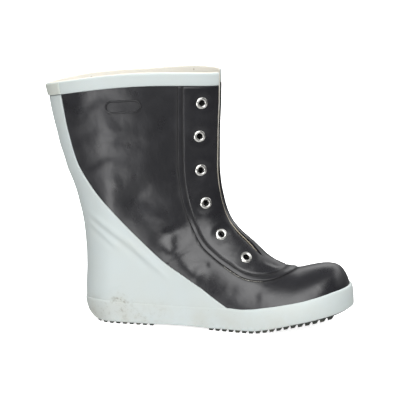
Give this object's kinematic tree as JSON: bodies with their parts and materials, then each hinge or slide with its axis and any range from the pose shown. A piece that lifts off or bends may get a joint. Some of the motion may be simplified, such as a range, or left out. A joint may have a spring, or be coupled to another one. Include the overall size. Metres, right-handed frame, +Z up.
{
  "type": "rubber boot",
  "caption": "Black and white calf-high rubber boot for the right foot, with an open eyelet throat, a wrapped white heel and sole edge, and no lace",
  "frame": {"origin": "middle of the boot's bounding box, on the floor it stands on", "axes": "+X toward the toe, +Y toward the inner side of the right foot, +Z up"},
  "size_m": [0.3274, 0.105, 0.2656],
  "materials": {
    "black_rubber": "satin black rubber",
    "white_rubber": "matt white rubber, a little soiled",
    "grey_rubber": "matt light grey rubber",
    "sole_rubber": "dark tread rubber",
    "insole_felt": "beige felt",
    "eyelet_metal": "bright nickel-plated metal"
  },
  "bodies": {
    "root": {"upper": "black_rubber", "facing": "black_rubber", "badge": "black_rubber", "tongue": "black_rubber", "heel_panel": "white_rubber", "collar_band": "white_rubber", "foxing": "white_rubber", "collar_tab": "grey_rubber", "outsole": "sole_rubber", "insole": "insole_felt", "eyelet_lateral_1": "eyelet_metal", "eyelet_lateral_2": "eyelet_metal", "eyelet_lateral_3": "eyelet_metal", "eyelet_lateral_4": "eyelet_metal", "eyelet_lateral_5": "eyelet_metal", "eyelet_lateral_6": "eyelet_metal", "eyelet_medial_1": "eyelet_metal", "eyelet_medial_2": "eyelet_metal", "eyelet_medial_3": "eyelet_metal", "eyelet_medial_4": "eyelet_metal", "eyelet_medial_5": "eyelet_metal", "eyelet_medial_6": "eyelet_metal"}
  },
  "joints": []
}
